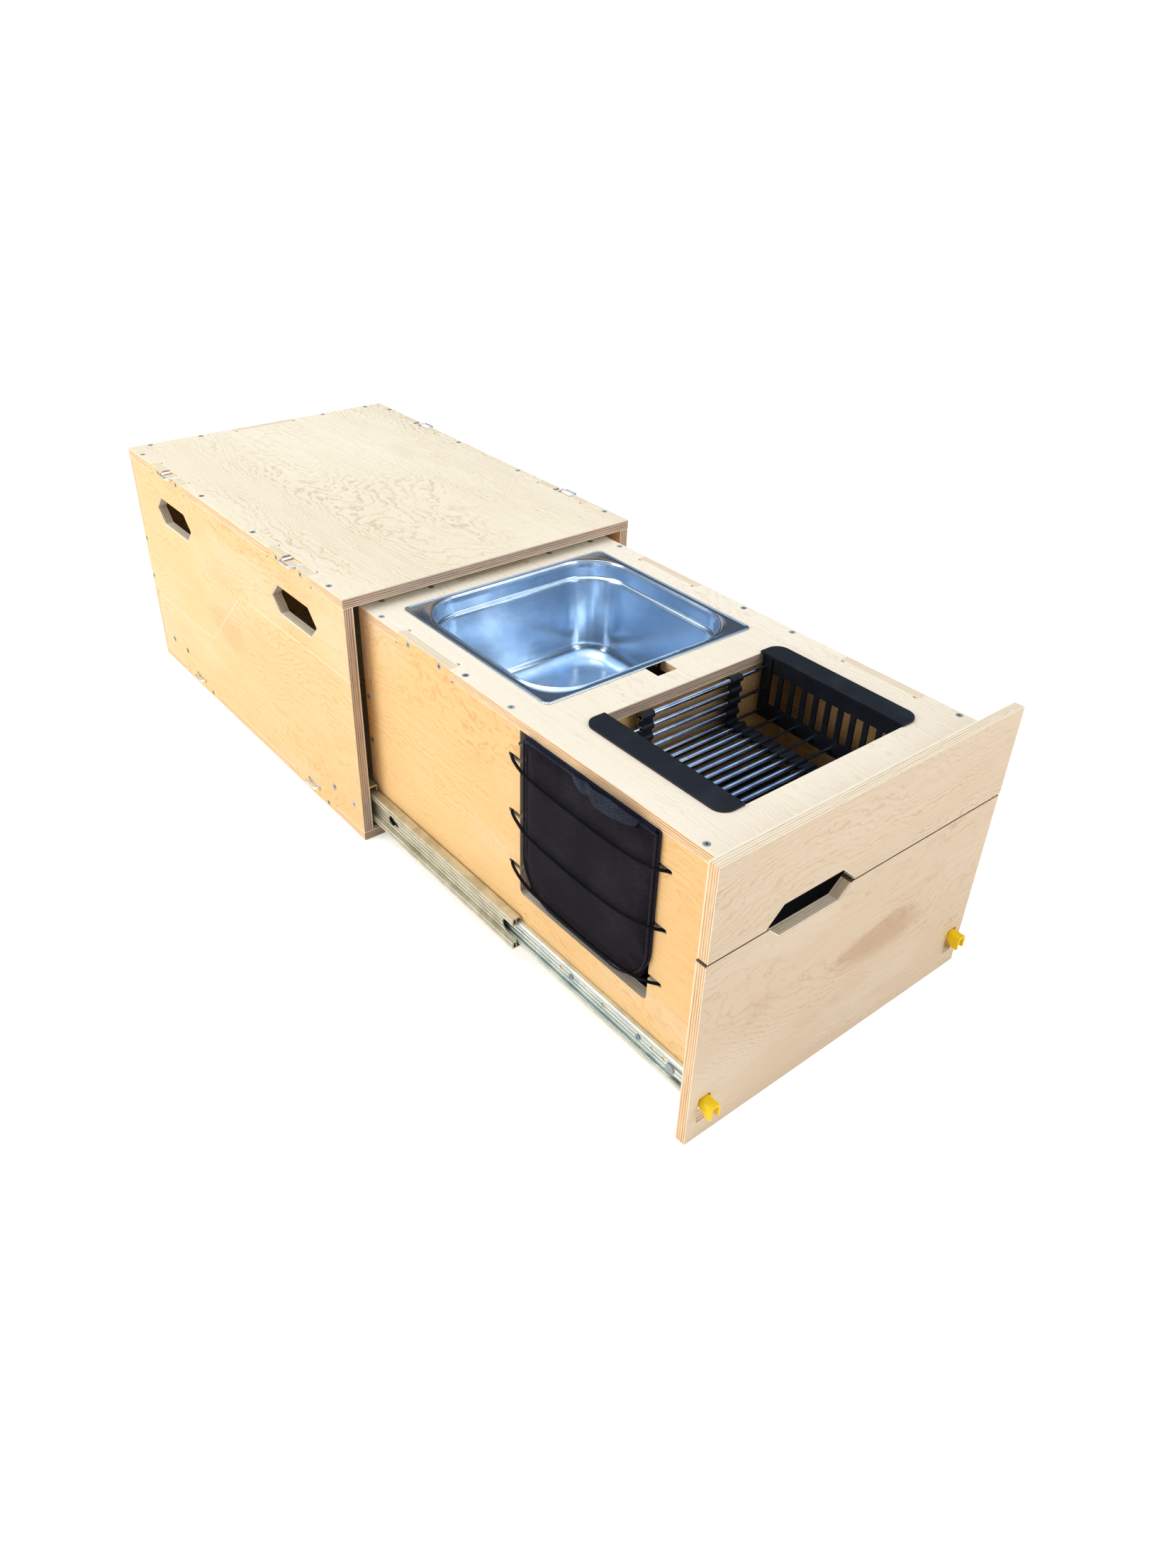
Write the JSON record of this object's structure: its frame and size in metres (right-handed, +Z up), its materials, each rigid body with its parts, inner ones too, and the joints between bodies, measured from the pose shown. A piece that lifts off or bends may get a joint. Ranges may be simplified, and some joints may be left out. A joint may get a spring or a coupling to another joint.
{
  "type": "camping kitchen box",
  "caption": "Plywood chuck box with a full-length pull-out kitchen drawer on telescopic slides, holding a steel sink tray, a draining basket, a utensil bag and a case.",
  "frame": {"origin": "centre of the carcass's underside, on the ground", "axes": "looking along +Y at the front panels, +X is to the right and +Z is up; the drawer runs out along -Y"},
  "size_m": [0.528, 1.4995, 0.406],
  "materials": {
    "birch_plywood": "sanded and oiled birch veneer with striped edges",
    "zinc_steel": "blue zinc plated",
    "bright_wire": "bright drawn wire",
    "slide_zinc": "yellowish zinc plated sheet",
    "slide_bright": "bright blue zinc plated sheet",
    "ball_steel": "polished",
    "yellow_plastic": "semi-gloss",
    "black_plastic": "fine satin",
    "basket_steel": "polished tube",
    "stainless_steel": "polished, softly brushed",
    "bag_fabric": "fine woven nylon",
    "webbing": "woven webbing",
    "elastic": "braided shock cord",
    "case_plastic": "smooth satin"
  },
  "bodies": {
    "carcass": {"carcass_top": "birch_plywood", "carcass_bottom": "birch_plywood", "carcass_back": "birch_plywood", "carcass_left_side": "birch_plywood", "carcass_right_side": "birch_plywood", "carcass_screws": "zinc_steel", "lashing_loops_left": "bright_wire", "lashing_loops_right": "bright_wire", "slide_outer_left": "slide_zinc", "slide_outer_right": "slide_zinc", "slide_bolts": "zinc_steel", "slide_nuts": "zinc_steel"},
    "middle_left": {"slide_middle_left": "slide_zinc"},
    "cage_outer_left": {"ball_cage_outer_left": "slide_bright", "balls_outer_left": "ball_steel"},
    "cage_inner_left": {"ball_cage_inner_left": "slide_bright", "balls_inner_left": "ball_steel"},
    "lever_left": {"release_lever_left": "slide_bright", "lever_cap_left": "yellow_plastic"},
    "middle_right": {"slide_middle_right": "slide_zinc"},
    "cage_outer_right": {"ball_cage_outer_right": "slide_bright", "balls_outer_right": "ball_steel"},
    "cage_inner_right": {"ball_cage_inner_right": "slide_bright", "balls_inner_right": "ball_steel"},
    "lever_right": {"release_lever_right": "slide_bright", "lever_cap_right": "yellow_plastic"},
    "basket_right": {"basket_frame_right": "black_plastic", "basket_rods_right": "basket_steel"},
    "basket_middle": {"basket_tubes": "basket_steel", "basket_couplers": "black_plastic"},
    "drawer": {"drawer_top": "birch_plywood", "drawer_bottom": "birch_plywood", "drawer_back": "birch_plywood", "drawer_divider": "birch_plywood", "drawer_left_side": "birch_plywood", "drawer_right_side": "birch_plywood", "front_lower_panel": "birch_plywood", "front_upper_panel": "birch_plywood", "drawer_screws": "zinc_steel", "front_screws": "zinc_steel", "slide_screws": "zinc_steel", "angle_brackets": "zinc_steel", "lever_rivets": "zinc_steel", "slide_inner_left": "slide_bright", "basket_frame_left": "black_plastic", "basket_rods_left": "basket_steel", "slide_inner_right": "slide_bright", "gastro_tray": "stainless_steel", "utensil_bag": "bag_fabric", "bag_handle": "webbing", "elastic_cord_top": "elastic", "elastic_cord_middle": "elastic", "elastic_cord_bottom": "elastic", "cord_knots": "elastic", "stove_case": "case_plastic"}
  },
  "joints": [
    {"name": "drawer_slide", "type": "slide", "parent": "carcass", "child": "drawer", "axis": [0, -1, 0], "range_m": [-0.704, 0]},
    {"name": "middle_left_slide", "type": "slide", "parent": "carcass", "child": "middle_left", "axis": [0, -1, 0], "range_m": [-0.363, 0]},
    {"name": "cage_outer_left_slide", "type": "slide", "parent": "carcass", "child": "cage_outer_left", "axis": [0, -1, 0], "range_m": [-0.1815, 0]},
    {"name": "cage_inner_left_slide", "type": "slide", "parent": "middle_left", "child": "cage_inner_left", "axis": [0, -1, 0], "range_m": [-0.1705, 0]},
    {"name": "lever_left_press", "type": "hinge", "parent": "drawer", "child": "lever_left", "pos_m": [-0.225, -1.0385, 0.0535], "axis": [1, 0, 0], "range_deg": [0, 10], "stiffness_Nm_per_rad": 0.6, "springref_deg": -8.59},
    {"name": "middle_right_slide", "type": "slide", "parent": "carcass", "child": "middle_right", "axis": [0, -1, 0], "range_m": [-0.363, 0]},
    {"name": "cage_outer_right_slide", "type": "slide", "parent": "carcass", "child": "cage_outer_right", "axis": [0, -1, 0], "range_m": [-0.1815, 0]},
    {"name": "cage_inner_right_slide", "type": "slide", "parent": "middle_right", "child": "cage_inner_right", "axis": [0, -1, 0], "range_m": [-0.1705, 0]},
    {"name": "lever_right_press", "type": "hinge", "parent": "drawer", "child": "lever_right", "pos_m": [0.225, -1.0385, 0.0535], "axis": [1, 0, 0], "range_deg": [0, 10], "stiffness_Nm_per_rad": 0.6, "springref_deg": -8.59},
    {"name": "basket_extend", "type": "slide", "parent": "drawer", "child": "basket_right", "axis": [1, 0, 0], "range_m": [-0.094, 0.006]},
    {"name": "basket_tubes_slide", "type": "slide", "parent": "drawer", "child": "basket_middle", "axis": [1, 0, 0], "range_m": [-0.05, 0.0035]}
  ],
  "couplings": [
    {"joint": "middle_left_slide", "follows": "drawer_slide", "ratio": 0.5156},
    {"joint": "cage_outer_left_slide", "follows": "drawer_slide", "ratio": 0.2578},
    {"joint": "cage_inner_left_slide", "follows": "drawer_slide", "ratio": 0.2421},
    {"joint": "middle_right_slide", "follows": "drawer_slide", "ratio": 0.5156},
    {"joint": "cage_outer_right_slide", "follows": "drawer_slide", "ratio": 0.2578},
    {"joint": "cage_inner_right_slide", "follows": "drawer_slide", "ratio": 0.2421},
    {"joint": "basket_tubes_slide", "follows": "basket_extend", "ratio": 0.53}
  ]
}
